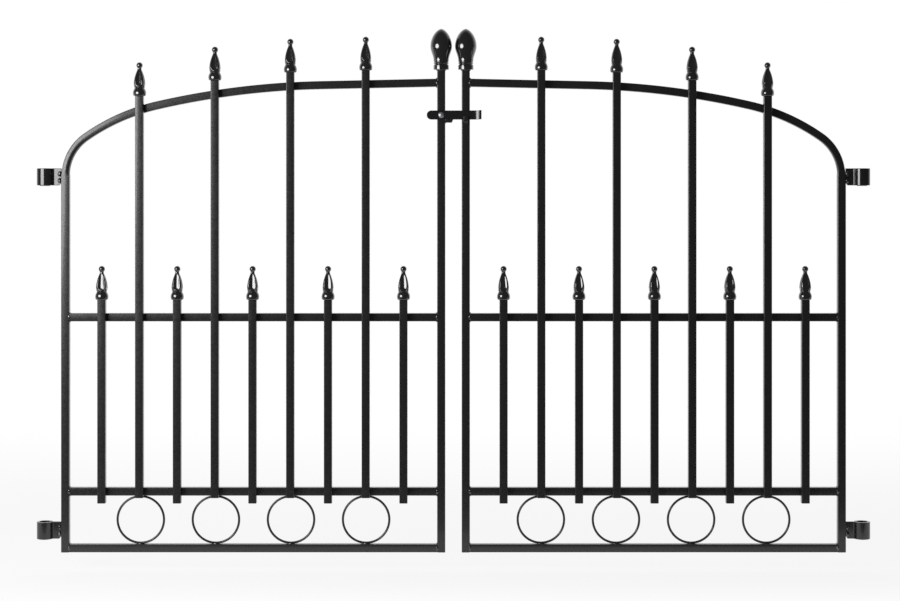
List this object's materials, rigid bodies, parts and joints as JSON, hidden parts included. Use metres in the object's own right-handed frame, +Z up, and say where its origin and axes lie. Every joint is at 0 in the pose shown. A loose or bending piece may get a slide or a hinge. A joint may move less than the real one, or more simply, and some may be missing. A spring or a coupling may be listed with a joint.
{
  "type": "double steel gate",
  "caption": "Double garden gate of black square steel bar: two arched leaves with spear-topped pickets, rod rings, egg finials and a lift latch, swinging on hinge pins.",
  "frame": {"origin": "centre of the lower end face of the left lower hinge pin, seen from the front", "axes": "+X to the right along the closed gate, the front with the pickets faces -Y, +Z up along the hinge pins"},
  "size_m": [1.5607, 0.0522, 0.98],
  "materials": {
    "black_paint": "semi-gloss",
    "bright_rivet": "bright",
    "bare_steel": "satin"
  },
  "bodies": {
    "hinge_pins": {"left_lower_pin": "bare_steel", "left_upper_pin": "bare_steel", "right_lower_pin": "bare_steel", "right_upper_pin": "bare_steel"},
    "left_leaf": {"left_arched_frame": "black_paint", "left_meeting_stile": "black_paint", "left_mid_rail": "black_paint", "left_lower_rail": "black_paint", "left_bottom_rail": "black_paint", "left_tall_pickets": "black_paint", "left_short_pickets": "black_paint", "left_tall_spearheads": "black_paint", "left_short_spearheads": "black_paint", "left_rings": "black_paint", "left_egg_finial": "black_paint", "left_upper_hinge": "black_paint", "left_lower_hinge": "black_paint", "latch_rivet": "bright_rivet", "latch_stop": "black_paint"},
    "right_leaf": {"right_arched_frame": "black_paint", "right_meeting_stile": "black_paint", "right_mid_rail": "black_paint", "right_lower_rail": "black_paint", "right_bottom_rail": "black_paint", "right_tall_pickets": "black_paint", "right_short_pickets": "black_paint", "right_tall_spearheads": "black_paint", "right_short_spearheads": "black_paint", "right_rings": "black_paint", "right_egg_finial": "black_paint", "right_upper_hinge": "black_paint", "right_lower_hinge": "black_paint", "keeper_hook": "black_paint"},
    "latch": {"latch_bar": "black_paint"}
  },
  "joints": [
    {"name": "left_leaf_swing", "type": "hinge", "parent": "hinge_pins", "child": "left_leaf", "pos_m": [0, 0, 0], "axis": [0, 0, 1], "range_deg": [-90, 90]},
    {"name": "right_leaf_swing", "type": "hinge", "parent": "hinge_pins", "child": "right_leaf", "pos_m": [1.5305, 0, 0], "axis": [0, 0, -1], "range_deg": [-90, 90]},
    {"name": "latch_lift", "type": "hinge", "parent": "left_leaf", "child": "latch", "pos_m": [0.74225, -0.01, 0.794], "axis": [0, -1, 0], "range_deg": [0, 60]}
  ]
}
